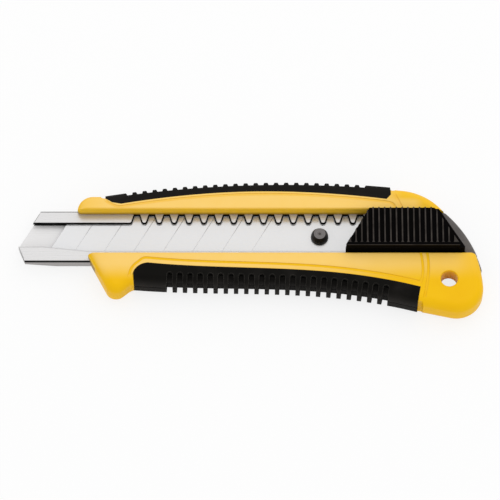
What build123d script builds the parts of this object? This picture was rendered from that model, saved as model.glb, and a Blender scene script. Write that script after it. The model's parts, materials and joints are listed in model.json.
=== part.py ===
from build123d import *
from math import asin, cos, degrees, radians, sin, sqrt, tan
import os

os.makedirs("parts", exist_ok=True)

# Snap-off utility knife, in millimetres. It lies on its back: X runs along the knife with the
# nose at -X, +Y is the spine side, +Z is the slider side and the back face is at Z = 0.

# ---- Driving dimensions ----

# Handle
nose_to_blade = 9.2  # from the nose to the tip of the drawn-in blade
blade_to_tail = 50.0
body_thickness = 11.0
back_wall = 1.2
channel_cover = 1.3  # how far the beams reach over the channel's edges
channel_line = 5.7  # Y of the blade's centre line
edge_round = 3.4
slot_edge_bevel = 0.6
valley_radius = 1.3
shell_wall = 1.8
cavity_roof = 1.6
upper_front_setback = 21.2  # from the nose to the front of the upper beam
lower_front_setback = 25.3
floor_front_setback = 31.0
front_beam_width = 6.0
front_edge_flat = 0.4  # straight part of the upper beam's front, below its rounded corner
upper_beam_width = 11.7  # at the crest of the spine
grip_front_width = 6.24
crest_setback = 71.2
guard_depth = 14.9
guard_top_length = 7.7
guard_foot_length = 3.9
guard_radius = 3.6
guard_root_radius = 5.0
belly_depths = (11.3, 12.8, 13.9, 16.5, 19.9)  # below the slot, at the places along the grip
belly_places = (0.0, 0.40, 0.65, 0.85, 1.0)
belly_end_lean = 1.2  # how far the belly stops short of the lower grip's rear corner
cap_radius = 21.5
cap_top_width = 8.55
cap_front_gap = 2.5  # from the upper grip to the top of the cap behind it
cap_tip_setback = 13.7  # from the tail to the tip of the upper beam's rear cap
mouth_radius = 44.6
tail_radius = 50.0
tail_centre_drop = 15.2  # from the slot down to the widest place of the tail
mouth_corner_round = 1.3
block_depth = 24.6
block_radius = 9.6

# Steel channel
channel_depth = 5.0
blade_side_gap = 0.2
sheet = 0.7
bend_round = 0.6
upper_lip_width = 5.0
lower_lip_width = 3.9
lower_lip_nose_width = 5.6
nose_taper_length = 16.8  # along which the side walls get lower
nose_taper_rise = 2.6
nose_floor_length = 17.3
nose_ramp_length = 8.0
nose_tip_height = 5.9  # from the channel's lower wall
nose_foot_setback = 2.5
nose_round = 1.0
lip_taper_front = 9.5  # from the nose, where the lower lip starts to narrow
lip_taper_end = 24.7
lug_setback = 28.0
lug_length = 1.2
lug_width = 2.0
lug_spacing = 12.0
tail_setback = 16.0
fit_gap = 0.05
slide_gap = 0.1
blade_drop = 0.4  # from the lips down to the blade

# Ratchet along the upper lip
notch_pitch = 5.376
notch_mouth = 3.7
notch_depth = 3.3
notch_side_angle = 73.0
notch_round = 1.05
ratchet_bevel = 0.4
ratchet_setback = 42.0
catch_setback = 27.6  # from the tail to the catch of the parked slider

# Blades
blade_width = 18.0
blade_thickness = 0.5
blade_length = 107.8
blade_angle = 60.0
first_score = 9.3
spare_blade_setback = 29.0
bevel_width = 1.3
edge_thickness = 0.06
score_pitch = 10.6
plain_tail = 30.0
score_width = 0.16
score_depth = 0.12
pin_to_blade_tail = 13.6

# Sliding pieces
slider_length = 43.3
slider_spine_length = 33.9  # from the front corner to the end of the spine side
slider_height = 4.0
slider_base_height = 6.4
slider_top_inset = 0.15
slider_tail_inset = 1.7
slider_roof = 2.2
slider_corner_round = 0.35
slider_side_chamfer = 0.1
slider_side_gap = 0.9
slider_float = 0.3
slider_wall = 1.8
slider_edge_round = 0.3
slider_rib_pitch = 2.08
slider_rib_groove = 1.58
slider_rib_depth = 0.9
slider_rib_margin = 1.1
slider_rib_start = 2.9
slider_rib_end = 3.5
catch_to_slider_front = 21.9
pin_to_slider_front = 8.95
tongue_thickness = 0.6
tongue_width = 9.0
tongue_nose = 4.6
tongue_seat = 9.0  # how far the tongue runs under the carrier
plate_thickness = 0.3
pin_base_diameter = 6.1
pin_top_diameter = 4.3
pin_shank_diameter = 3.0
pin_collar_height = 1.2  # straight part of the pin above the blade
pin_height = 3.1
pin_dimple_diameter = 1.1
carrier_length = 21.5
carrier_front_gap = 0.4
carrier_gap = 0.15
neck_setback = 0.6
carrier_neck_gap = 0.3
carrier_block_height = 2.5
spring_bay_start = 3.9
spring_bay_end = 1.6
spring_bay_width = 4.5
lock_wire = 0.5
lock_wire_height = 0.8
lock_bend = 0.4
lock_lip_gap = 0.45
lock_root_to_catch = 12.7
catch_half_width = 1.7
catch_reach = 2.45  # how far the catch sits inside the notch, past the lobes
slider_screw_boss = 5.0
slider_screw_length = 7.6
slider_screw_setback = 15.0

# Magazine
spring_thickness = 0.3
spring_width = 8.0
spring_half_waves = 4
spring_end_gap = 7.5
spring_front_setback = 45.5
plate_front_gap = 0.9
plate_end_gap = 0.5

# Grips
upper_grip_skin = 2.5
lower_grip_skin = 3.3
grip_bed = 0.3  # how far the handle's block stays inside the grips that cover it
grip_face_skin = 1.6
groove_pitch = 3.674
upper_groove_mouth = 2.8
upper_groove_depth = 1.7
groove_side_angle = 75.0
lower_groove_width = 2.1
lower_groove_depth = 1.9
finger_taper = 0.6  # length of the narrowed end of each rib on the finger side
finger_angle = 60.0
recess_depth = 1.2
recess_reach = 4.4
crease_width = 0.35  # the parting line round each grip
crease_depth = 0.3
upper_pad_length = 8.6
upper_rear_pad = 8.0
lower_pad_length = 13.0
lower_rear_pad = 12.0
upper_edge_places = (5.7, 23.5, 50.2)
upper_edge_widths = (2.0, 4.7, 6.8, 6.7, 3.9)
upper_edge_crest = 5.0
upper_edge_end = 1.3
lower_edge_places = (5.3, 34.7, 71.9)
lower_edge_widths = (4.1, 5.9, 7.9, 10.3, 13.6)
lower_edge_end = 14.3
upper_grip_front_setback = 31.3
upper_grip_rear_setback = 33.0
lower_grip_front_setback = 41.6
lower_grip_rear_setback = 22.6
border_width = 0.9
border_depth = 0.22
upper_border_gap = 1.1
lower_border_gap = 1.9

# Rear end
cap_proud = 0.45
cap_gap = 0.2
cap_face_drop = 3.2
cap_lug = 5.2
cap_edge_round = 1.0
cap_setback = 14.8  # from the tail to the front of the cap's wide part
plug_length = 4.6
slider_rest_gap = 0.45
lanyard_diameter = 6.0
lanyard_setback = 12.3
lanyard_drop = 10.3
lanyard_round = 0.6
lanyard_relief_diameter = 9.6
lanyard_relief_depth = 4.2

# Fasteners
screw_diameter = 1.8
screw_head_diameter = 3.4
screw_head_height = 1.0
screw_length = 8.8
upper_screw_run = 17.0
lower_screw_run = 32.0
guard_screw_run = 8.2
end_screw_run = 6.0
beam_screw_offset = 3.8
guard_screw_offset = 7.0
rear_screw_offset = 5.8
block_screw_offset = 18.0
screw_sink = 0.15
screw_gap = 0.1
drive_width = 0.5
drive_length = 1.9
drive_depth = 0.6
rivet_diameter = 2.4
rivet_head_diameter = 3.6
rivet_head_height = 0.4
rivet_spacing = 10.0
rivet_setback = 35.5

# ---- Places worked out from them ----

knife_length = nose_to_blade + blade_length + blade_to_tail
nose_x = -knife_length / 2
tail_x = knife_length / 2
channel_width = blade_width + 2 * (blade_side_gap + sheet)
slot_width = channel_width - 2 * channel_cover
slot_high = channel_line + slot_width / 2
slot_low = channel_line - slot_width / 2
channel_high = channel_line + channel_width / 2
channel_low = channel_line - channel_width / 2
lip_z = back_wall + channel_depth
floor_z = back_wall + sheet
cavity_top = body_thickness - grip_face_skin - cavity_roof
cavity_base = grip_face_skin + cavity_roof
blade_top = lip_z - sheet - blade_drop
blade_base = blade_top - blade_thickness
tongue_top = blade_base - fit_gap
tongue_base = tongue_top - tongue_thickness
plate_top = tongue_base - slide_gap
plate_base = plate_top - plate_thickness
slider_base_z = lip_z + slider_float
slider_top_z = body_thickness + slider_height
slider_step_z = slider_base_z + slider_base_height

catch_x = tail_x - catch_setback
rest_notch = int((catch_x - nose_x - ratchet_setback) / notch_pitch)
first_notch_x = catch_x - rest_notch * notch_pitch
slider_front_x = catch_x - catch_to_slider_front
slider_tail_x = slider_front_x + slider_length
pin_x = slider_front_x - pin_to_slider_front
channel_tail_x = tail_x - tail_setback
rivet_x = nose_x + rivet_setback
slant = 1 / tan(radians(blade_angle))  # run along X for each millimetre of Y

upper_front_x = nose_x + upper_front_setback
lower_front_x = nose_x + lower_front_setback
floor_front_x = nose_x + floor_front_setback
upper_grip_front_x = nose_x + upper_grip_front_setback
upper_grip_rear_x = tail_x - upper_grip_rear_setback
lower_grip_front_x = nose_x + lower_grip_front_setback
lower_grip_rear_x = tail_x - lower_grip_rear_setback

crest_y = slot_high + upper_beam_width
crest_x = tail_x - crest_setback
crest_drop = upper_beam_width - grip_front_width
crest_radius = ((crest_x - upper_grip_front_x) ** 2 + crest_drop**2) / (2 * crest_drop)
tail_centre = (tail_x - tail_radius, slot_low - tail_centre_drop)
tail_foot_angle = degrees(asin((tail_centre_drop - block_depth) / tail_radius))
tail_slot_angle = degrees(asin(tail_centre_drop / tail_radius))
cap_tip = (tail_x - cap_tip_setback, slot_high)
lanyard_centre = (tail_x - lanyard_setback, slot_low - lanyard_drop)


def crest_height(x):
    # Y of the spine's long arc
    return crest_y - crest_radius + sqrt(crest_radius**2 - (x - crest_x) ** 2)


def crest_arc(x0, x1, drop):
    # The spine's arc from x0 to x1, lowered by drop
    ends = [(x, crest_height(x) - drop) for x in (x0, x1)]
    middle = (x0 + x1) / 2
    return ThreePointArc(ends[0], (middle, crest_height(middle) - drop), ends[1])


def belly_curve(inset):
    # The finger side of the lower grip, moved inwards by inset
    span = lower_grip_rear_x - belly_end_lean - lower_grip_front_x
    places = [lower_grip_front_x + span * place for place in belly_places]
    return Spline(*[(x, slot_low - depth + inset) for x, depth in zip(places, belly_depths)])


# ---- Handle: one rounded block that the mouldings are cut from ----

front_corner = (upper_front_x, slot_high + front_beam_width)
guard_toe = (lower_front_x + guard_top_length, slot_low - guard_depth)
guard_heel = (guard_toe[0] + guard_foot_length, guard_toe[1])
block_corner = (
    tail_centre[0] + tail_radius * cos(radians(tail_foot_angle)),
    tail_centre[1] + tail_radius * sin(radians(tail_foot_angle)),
)

with BuildPart() as handle_block:
    with BuildSketch() as handle_outline:
        with BuildLine():
            rear = CenterArc(tail_centre, tail_radius, tail_foot_angle, tail_slot_angle - tail_foot_angle)
            mouth = RadiusArc(rear @ 1, cap_tip, -mouth_radius)
            belly = belly_curve(grip_bed)
            spine = crest_arc(upper_grip_front_x, upper_grip_rear_x, grip_bed)
            cap_front = (upper_grip_rear_x + cap_front_gap, slot_high + cap_top_width)
            RadiusArc(cap_tip, cap_front, -cap_radius)
            Line(rear @ 0, belly @ 1)
            Polyline(belly @ 0, guard_heel, guard_toe, (lower_front_x, slot_low))
            Polyline(
                (lower_front_x, slot_low),
                (floor_front_x, slot_low),
                (floor_front_x, slot_high),
                (upper_front_x, slot_high),
            )
            Polyline((upper_front_x, slot_high), front_corner, spine @ 0)
            Line(spine @ 1, cap_front)
        make_face()
        for corner, radius in (
            (block_corner, block_radius),
            (rear @ 1, cap_radius),
            (cap_tip, cap_radius),
            (front_corner, front_beam_width - front_edge_flat),
            (guard_toe, guard_radius),
            (guard_heel, guard_radius),
            (belly @ 0, guard_root_radius),
            (spine @ 0, guard_root_radius),
            (spine @ 1, guard_root_radius),
            (cap_front, guard_root_radius),
        ):
            fillet(handle_outline.vertices().sort_by_distance(corner)[0], radius)
    extrude(amount=body_thickness)
    for level in (0, body_thickness):
        rim = handle_block.faces().filter_by(Axis.Z).sort_by_distance((0, 0, level))[0].edges()
        slot_front = Vector((upper_front_x + floor_front_x) / 2, channel_line, level)
        fillet(rim.sort_by_distance(slot_front)[3:], edge_round)
    with Locations(lanyard_centre):
        Hole(lanyard_diameter / 2)
    with BuildSketch():
        with Locations(lanyard_centre):
            Circle(lanyard_relief_diameter / 2)
    extrude(amount=lanyard_relief_depth, mode=Mode.SUBTRACT)
    lanyard_rims = handle_block.edges().filter_by(GeomType.CIRCLE).filter_by(
        lambda edge: (edge.arc_center - Vector(*lanyard_centre, edge.arc_center.Z)).length < 0.001
    )
    fillet(lanyard_rims.group_by(Axis.Z)[0] + lanyard_rims.group_by(Axis.Z)[-1], lanyard_round)

# ---- Grips: rubber skins wrapped round a core that both halves of the handle share ----

core_z = grip_face_skin
core_height = body_thickness - 2 * grip_face_skin

with BuildPart() as upper_core:
    with BuildSketch(Plane.XY.offset(core_z)):
        with BuildLine():
            core_top = crest_arc(upper_grip_front_x - 1, upper_grip_rear_x + 1, upper_grip_skin)
            Polyline(
                core_top @ 1,
                ((core_top @ 1).X, slot_high),
                ((core_top @ 0).X, slot_high),
                core_top @ 0,
            )
        make_face()
    extrude(amount=core_height)

with BuildPart() as lower_core:
    with BuildSketch(Plane.XY.offset(core_z)):
        with BuildLine():
            core_base = belly_curve(lower_grip_skin)
            Polyline(
                core_base @ 1,
                (lower_grip_rear_x + 2, (core_base @ 1).Y),
                (lower_grip_rear_x + 2, slot_low),
                (lower_grip_front_x - 2, slot_low),
                (lower_grip_front_x - 2, (core_base @ 0).Y),
                core_base @ 0,
            )
        make_face()
    extrude(amount=core_height)


def along(curve, front_pad, rear_pad):
    # Places of the grooves on a plan curve between two plain pads, turned to the curve's direction
    places = []
    for index in range(int((curve.length - front_pad - rear_pad) / groove_pitch) + 1):
        distance = front_pad + index * groove_pitch
        spot = curve.position_at(distance, position_mode=PositionMode.LENGTH)
        heading = curve.tangent_angle_at(distance, position_mode=PositionMode.LENGTH)
        places.append(Location((spot.X, spot.Y), heading))
    return places


def upper_edge(drop):
    # Where the upper grip ends on the face, as a curve moved down by drop
    places = [upper_grip_front_x + place for place in upper_edge_places]
    places += [crest_x + upper_edge_crest, upper_grip_rear_x - upper_edge_end]
    return Spline(*[(x, slot_high + width - drop) for x, width in zip(places, upper_edge_widths)])


def lower_edge(rise):
    # Where the lower grip ends on the face, as a curve moved up by rise
    places = [lower_grip_front_x + place for place in lower_edge_places]
    places += [lower_grip_rear_x - lower_edge_end, lower_grip_rear_x]
    return Spline(*[(x, slot_low - width + rise) for x, width in zip(places, lower_edge_widths)])


def upper_grip_outline(drop):
    # The upper grip in plan, with its spine lowered by drop
    with BuildSketch() as outline:
        with BuildLine():
            crest = crest_arc(upper_grip_front_x, upper_grip_rear_x, drop)
            edge = upper_edge(0)
            Polyline(
                crest @ 0,
                (upper_grip_front_x, slot_high + 4.3),
                (upper_grip_front_x + 2.4, slot_high + 2.6),
                edge @ 0,
            )
            Polyline(edge @ 1, (upper_grip_rear_x + 0.3, slot_high + 5.7), crest @ 1)
        make_face()
    return outline.sketch


def lower_grip_outline(inset):
    # The lower grip in plan, with its belly raised by inset
    with BuildSketch() as outline:
        with BuildLine():
            belly = belly_curve(inset)
            edge = lower_edge(0)
            shoulder = (lower_grip_front_x - 0.3, slot_low - 9.2)
            ThreePointArc(edge @ 0, (lower_grip_front_x + 1.0, slot_low - 6.2), shoulder)
            Line(shoulder, belly @ 0)
            Line(edge @ 1, belly @ 1)
        make_face()
    return outline.sketch


def rounded_skin(outline, low, high, curve_type, radius):
    # A skin from low to high with its outer long edges rounded
    with BuildPart() as skin:
        with BuildSketch(Plane.XY.offset(low)):
            add(outline)
        extrude(amount=high - low)
        rims = skin.edges().filter_by(curve_type).group_by(SortBy.LENGTH)[-1]
        fillet(rims, radius)
    return skin.part


upper_blank = rounded_skin(upper_grip_outline(0), 0, body_thickness, GeomType.CIRCLE, edge_round)
upper_groove_floor = rounded_skin(
    upper_grip_outline(upper_groove_depth), 0, body_thickness, GeomType.CIRCLE, edge_round
)
lower_blank = rounded_skin(lower_grip_outline(0), 0, body_thickness, GeomType.BSPLINE, edge_round)
lower_groove_floor = rounded_skin(
    lower_grip_outline(lower_groove_depth),
    recess_depth,
    body_thickness - recess_depth,
    GeomType.BSPLINE,
    edge_round - recess_depth,
)

upper_spine = crest_arc(upper_grip_front_x, upper_grip_rear_x, 0)
lower_belly = belly_curve(0)
groove_reach = upper_groove_depth + grip_bed


def crease(outline):
    # The ring that the parting line takes out of a grip, given its outline as a function of inset
    with BuildPart() as ring:
        with BuildSketch(Plane.XY.offset(lip_z - crease_width / 2)):
            add(outline(-crease_depth))
            add(outline(crease_depth), mode=Mode.SUBTRACT)
        extrude(amount=crease_width)
    return ring.part


with BuildPart() as upper_grip:
    add(upper_blank)
    with BuildSketch():
        with Locations(*along(upper_spine, upper_pad_length, upper_rear_pad)):
            Trapezoid(
                upper_groove_mouth + 2 * groove_reach / tan(radians(groove_side_angle)),
                2 * groove_reach,
                groove_side_angle,
                rotation=180,
            )
    extrude(amount=body_thickness, mode=Mode.SUBTRACT)
    add(upper_groove_floor)
    add(crease(upper_grip_outline), mode=Mode.SUBTRACT)
    add(upper_core.part, mode=Mode.SUBTRACT)

with BuildPart() as lower_grip:
    add(lower_blank)
    with BuildSketch():
        with Locations(*along(lower_belly, lower_pad_length, lower_rear_pad)):
            SlotOverall(2 * recess_reach, lower_groove_width, rotation=90)
            Trapezoid(
                lower_groove_width + 4 * finger_taper / tan(radians(finger_angle)),
                2 * finger_taper,
                finger_angle,
            )
    extrude(amount=body_thickness, mode=Mode.SUBTRACT)
    add(lower_groove_floor)
    add(crease(lower_grip_outline), mode=Mode.SUBTRACT)
    add(lower_core.part, mode=Mode.SUBTRACT)

with BuildPart() as upper_seat:
    add(upper_blank)
    add(upper_core.part, mode=Mode.SUBTRACT)

with BuildPart() as lower_seat:
    add(lower_blank)
    add(lower_core.part, mode=Mode.SUBTRACT)


# ---- Yellow mouldings ----

# Screws go in from the back, beside the channel and inside each beam
screw_places = [
    (crest_x - upper_screw_run, slot_high + beam_screw_offset),
    (crest_x + upper_screw_run, slot_high + beam_screw_offset),
    (upper_grip_rear_x + end_screw_run, slot_high + beam_screw_offset),
    (lower_front_x + guard_screw_run, slot_low - guard_screw_offset),
    (lower_grip_front_x + lower_screw_run, slot_low - beam_screw_offset),
    (lower_grip_rear_x - lower_screw_run / 2, slot_low - rear_screw_offset),
    (lower_grip_rear_x + end_screw_run, slot_low - block_screw_offset),
]
rivet_places = [(rivet_x, channel_line + side * rivet_spacing / 2) for side in (-1, 1)]


# Small valleys in the edge of the mouldings where the grips end
with BuildPart() as valleys:
    with BuildSketch():
        with Locations(
            (upper_grip_front_x - 0.4, crest_height(upper_grip_front_x) - 0.6),
            (upper_grip_rear_x + 0.9, crest_height(upper_grip_rear_x) - 1.0),
            ((belly @ 1).X + 0.8, (belly @ 1).Y - 0.4),
        ):
            Circle(valley_radius)
    extrude(amount=body_thickness)


def cavity(curve, edge_y):
    # Plan of the hollow inside a beam, between its outer curve and edge_y, with posts for the screws
    with BuildSketch() as opening:
        with BuildLine():
            add(curve)
            Polyline(curve @ 0, ((curve @ 0).X, edge_y), ((curve @ 1).X, edge_y), curve @ 1)
        make_face()
        with Locations(*screw_places):
            Circle(screw_diameter / 2 + shell_wall, mode=Mode.SUBTRACT)
    return opening.sketch


upper_inside = crest_arc(upper_grip_front_x, upper_grip_rear_x, upper_grip_skin + shell_wall)
lower_inside = belly_curve(lower_grip_skin + shell_wall)


def border(*runs):
    # A fine groove along the given lines, cut into the front face
    with BuildPart() as groove:
        with BuildSketch(Plane.XY.offset(body_thickness - border_depth)):
            for run in runs:
                trace(run, line_width=border_width)
                with Locations(run @ 0, run @ 1):
                    Circle(border_width / 2)
        extrude(amount=1)
    return groove.part


def front_moulding(side, slot_edge, seat, inside, groove):
    # The front half of one beam: above the slot with side 1, below it with side -1
    with BuildPart() as moulding:
        add(handle_block.part)
        split(bisect_by=Plane.XY.offset(lip_z), keep=Keep.TOP)
        split(bisect_by=Plane.XZ.offset(-slot_edge), keep=Keep.BOTTOM if side > 0 else Keep.TOP)
        with BuildSketch(Plane.YZ.offset(nose_x)):
            with Locations((slot_edge, body_thickness)):
                Rectangle(slot_edge_bevel, slot_edge_bevel, rotation=45)
        extrude(amount=knife_length, mode=Mode.SUBTRACT)
        add(seat, mode=Mode.SUBTRACT)
        add(groove, mode=Mode.SUBTRACT)
        add(valleys.part, mode=Mode.SUBTRACT)
        with BuildSketch(Plane.XY.offset(lip_z)):
            add(cavity(inside, slot_edge + side * shell_wall))
        extrude(amount=cavity_top - lip_z, mode=Mode.SUBTRACT)
        with BuildSketch(Plane.XY.offset(lip_z)):
            with Locations(*screw_places):
                Circle(screw_diameter / 2)
        extrude(amount=screw_sink + screw_length + screw_gap - lip_z, mode=Mode.SUBTRACT)
    return moulding.part


upper_run = upper_edge(upper_border_gap)
lower_run = lower_edge(lower_border_gap)
upper_border = border(
    Spline(
        (upper_grip_front_x + 0.2, slot_high + 3.6),
        (upper_grip_front_x + 1.6, slot_high + 2.2),
        (upper_grip_front_x + 3.4, slot_high + 1.3),
        upper_run @ 0,
        tangents=((0.3, -1), upper_run % 0),
    ),
    upper_run,
    Spline(
        upper_run @ 1,
        (upper_grip_rear_x + 1.7, slot_high),
        tangents=(upper_run % 1, (0, -1)),
    ),
    Line((upper_grip_rear_x + 0.9, slot_high + 7.5), (upper_grip_rear_x + 4.4, slot_high)),
)
lower_border = border(
    Spline(
        (lower_grip_front_x - 1.6, slot_low - 12.8),
        (lower_grip_front_x - 1.3, slot_low - 8.7),
        (lower_grip_front_x - 0.2, slot_low - 5.7),
        (lower_grip_front_x + 2.3, slot_low - 3.3),
        lower_run @ 0,
        tangents=((0, 1), lower_run % 0),
    ),
    lower_run,
    Spline(
        lower_run @ 1,
        (lower_grip_rear_x + 0.8, slot_low - 9.0),
        (lower_grip_rear_x + 0.8, slot_low - 4.0),
        (lower_grip_rear_x + 0.2, slot_low),
        tangents=((0.5, 1), (-0.2, 1)),
    ),
    Spline(
        (lower_grip_rear_x + 2.5, slot_low),
        (lower_grip_rear_x + 2.9, slot_low - 7.0),
        (lower_grip_rear_x + 1.1, slot_low - 19.0),
        (lower_grip_rear_x + 0.3, slot_low - 23.5),
    ),
)

with BuildPart() as upper_front_shell:
    add(front_moulding(1, slot_high, upper_seat.part, upper_inside, upper_border))
    with BuildSketch(Plane.XY.offset(lip_z)):
        with Locations((upper_front_x, slot_high)):
            Rectangle(mouth_corner_round, mouth_corner_round, align=Align.MIN)
        with Locations((upper_front_x + mouth_corner_round, slot_high + mouth_corner_round)):
            Circle(mouth_corner_round, mode=Mode.SUBTRACT)
    extrude(amount=body_thickness, mode=Mode.SUBTRACT)

with BuildPart() as lower_front_shell:
    add(front_moulding(-1, slot_low, lower_seat.part, lower_inside, lower_border))

with BuildPart() as back_shell:
    add(handle_block.part)
    split(bisect_by=Plane.XY.offset(lip_z), keep=Keep.BOTTOM)
    with BuildSketch(Plane.XY.offset(back_wall)):
        with Locations((0, channel_line)):
            Rectangle(knife_length + 2, channel_width + 2 * fit_gap)
        with Locations((tail_x, slot_low - cap_lug)):
            Rectangle(
                cap_setback + cap_gap,
                channel_line - slot_low + cap_lug,
                align=(Align.MAX, Align.MIN),
            )
    extrude(amount=body_thickness, mode=Mode.SUBTRACT)
    add(upper_seat.part, mode=Mode.SUBTRACT)
    add(lower_seat.part, mode=Mode.SUBTRACT)
    add(valleys.part, mode=Mode.SUBTRACT)
    with BuildSketch(Plane.XY.offset(cavity_base)):
        add(cavity(upper_inside, channel_high + fit_gap + shell_wall))
        add(cavity(lower_inside, channel_low - fit_gap - shell_wall))
    extrude(amount=lip_z - cavity_base, mode=Mode.SUBTRACT)
    with BuildSketch():
        with Locations(*screw_places):
            Circle(screw_diameter / 2 + screw_gap)
        with Locations(*rivet_places):
            Circle(rivet_diameter / 2)
    extrude(amount=body_thickness, mode=Mode.SUBTRACT)
    with BuildSketch():
        with Locations(*screw_places):
            Circle(screw_head_diameter / 2 + screw_gap)
    extrude(amount=screw_sink + screw_head_height, mode=Mode.SUBTRACT)
    with BuildSketch():
        with Locations(*rivet_places):
            Circle(rivet_head_diameter / 2 + screw_gap)
    extrude(amount=screw_sink + rivet_head_height, mode=Mode.SUBTRACT)


# ---- Fasteners ----


def screw(base_z, height, places):
    # Pan screws standing head down, with a cross recess for the driver
    with BuildPart() as screws:
        with BuildSketch(Plane.XY.offset(base_z)):
            with Locations(*places):
                Circle(screw_head_diameter / 2)
        extrude(amount=screw_head_height)
        with BuildSketch(Plane.XY.offset(base_z)):
            with Locations(*places):
                Circle(screw_diameter / 2)
        extrude(amount=height)
        with BuildSketch(Plane.XY.offset(base_z)):
            with Locations(*places):
                Rectangle(drive_length, drive_width)
                Rectangle(drive_width, drive_length)
        extrude(amount=drive_depth, mode=Mode.SUBTRACT)
    return screws.part


with BuildPart() as shell_screws:
    add(screw(screw_sink, screw_length, screw_places))

with BuildPart() as channel_rivets:
    for level, radius, height in (
        (screw_sink, rivet_head_diameter / 2, rivet_head_height),
        (screw_sink, rivet_diameter / 2, floor_z - screw_sink),
        (floor_z, rivet_head_diameter / 2, rivet_head_height),
    ):
        with BuildSketch(Plane.XY.offset(level)):
            with Locations(*rivet_places):
                Circle(radius)
        extrude(amount=height)


# ---- Steel channel with the ratchet ----

tip_y = channel_low + nose_tip_height
upper_lip_y = channel_high - upper_lip_width
lower_lip_y = channel_low + lower_lip_width
ramp_top_x = nose_x + nose_floor_length
ramp_foot_x = ramp_top_x + nose_ramp_length
nose_floor_z = tongue_base - slide_gap

with BuildPart() as blade_channel:
    with BuildSketch(Plane.YZ.offset(nose_x)):
        with Locations((channel_line, back_wall + channel_depth / 2)):
            RectangleRounded(channel_width, channel_depth, bend_round)
            Rectangle(channel_width - 2 * sheet, channel_depth - 2 * sheet, mode=Mode.SUBTRACT)
    extrude(amount=channel_tail_x - nose_x)
    # The side walls get lower towards the nose
    with BuildSketch(Plane.XZ.offset(-channel_high)):
        with BuildLine():
            Polyline(
                (nose_x, back_wall),
                (nose_x + nose_taper_length, back_wall),
                (nose_x, back_wall + nose_taper_rise),
                close=True,
            )
        make_face()
    extrude(amount=channel_width, mode=Mode.SUBTRACT)
    # The floor rises up a ramp to a flat tongue just below the travelling blade
    with BuildSketch(Plane.XZ.offset(-channel_line)):
        with Locations((nose_x, back_wall)):
            Rectangle(ramp_foot_x - nose_x, sheet, align=Align.MIN)
    extrude(amount=channel_width / 2 - sheet, both=True, mode=Mode.SUBTRACT)
    with BuildSketch(Plane.XZ.offset(-channel_line)):
        with BuildLine():
            Polyline(
                (nose_x, nose_floor_z),
                (ramp_top_x, nose_floor_z),
                (ramp_foot_x, floor_z),
                (ramp_foot_x, back_wall),
                (ramp_top_x, nose_floor_z - sheet),
                (nose_x, nose_floor_z - sheet),
                close=True,
            )
        make_face()
    extrude(amount=channel_width / 2 - sheet, both=True)
    # The nose is cut along the blade's slant, to a rounded tip
    with BuildSketch() as nose_plan:
        with BuildLine():
            Polyline(
                (nose_x, tip_y),
                (nose_x + (channel_high - tip_y) * slant, channel_high),
                (channel_tail_x, channel_high),
                (channel_tail_x, channel_low),
                (nose_x + nose_foot_setback, channel_low),
                close=True,
            )
        make_face()
        fillet(nose_plan.vertices().sort_by(Axis.X)[0], nose_round)
    extrude(amount=body_thickness, mode=Mode.INTERSECT)
    # Opening between the lips, with the notches along its upper side
    with BuildSketch(Plane.XY.offset(lip_z - sheet)) as opening:
        with BuildLine():
            Polyline(
                (nose_x - 1, upper_lip_y),
                (channel_tail_x + 1, upper_lip_y),
                (channel_tail_x + 1, lower_lip_y),
                (nose_x + lip_taper_end, lower_lip_y),
                (nose_x + lip_taper_front, channel_low + lower_lip_nose_width),
                (nose_x - 1, channel_low + lower_lip_nose_width),
                close=True,
            )
        make_face()
        with Locations(*[(first_notch_x + i * notch_pitch, upper_lip_y) for i in range(rest_notch + 2)]):
            Trapezoid(notch_mouth, notch_depth, notch_side_angle, align=(Align.CENTER, Align.MIN))
        inner_corners = opening.vertices().filter_by_position(Axis.Y, upper_lip_y, upper_lip_y)
        fillet(inner_corners.sort_by(Axis.X)[1:-1], notch_round)
    extrude(amount=sheet, mode=Mode.SUBTRACT)
    lip_edges = blade_channel.edges().filter_by_position(Axis.Z, lip_z, lip_z)
    ratchet_top = upper_lip_y + notch_depth
    chamfer(lip_edges.filter_by_position(Axis.Y, upper_lip_y, ratchet_top), ratchet_bevel)
    # Two lugs stop the magazine's plate from sliding forward
    with BuildSketch(Plane.XY.offset(floor_z)):
        with Locations((nose_x + lug_setback, channel_line)):
            with GridLocations(1, lug_spacing, 1, 2):
                Rectangle(lug_length, lug_width)
    extrude(amount=plate_top - fit_gap - floor_z)
    with BuildSketch(Plane.XY.offset(back_wall)):
        with Locations(*rivet_places):
            Circle(rivet_diameter / 2)
    extrude(amount=sheet, mode=Mode.SUBTRACT)


# ---- Blades ----


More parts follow.
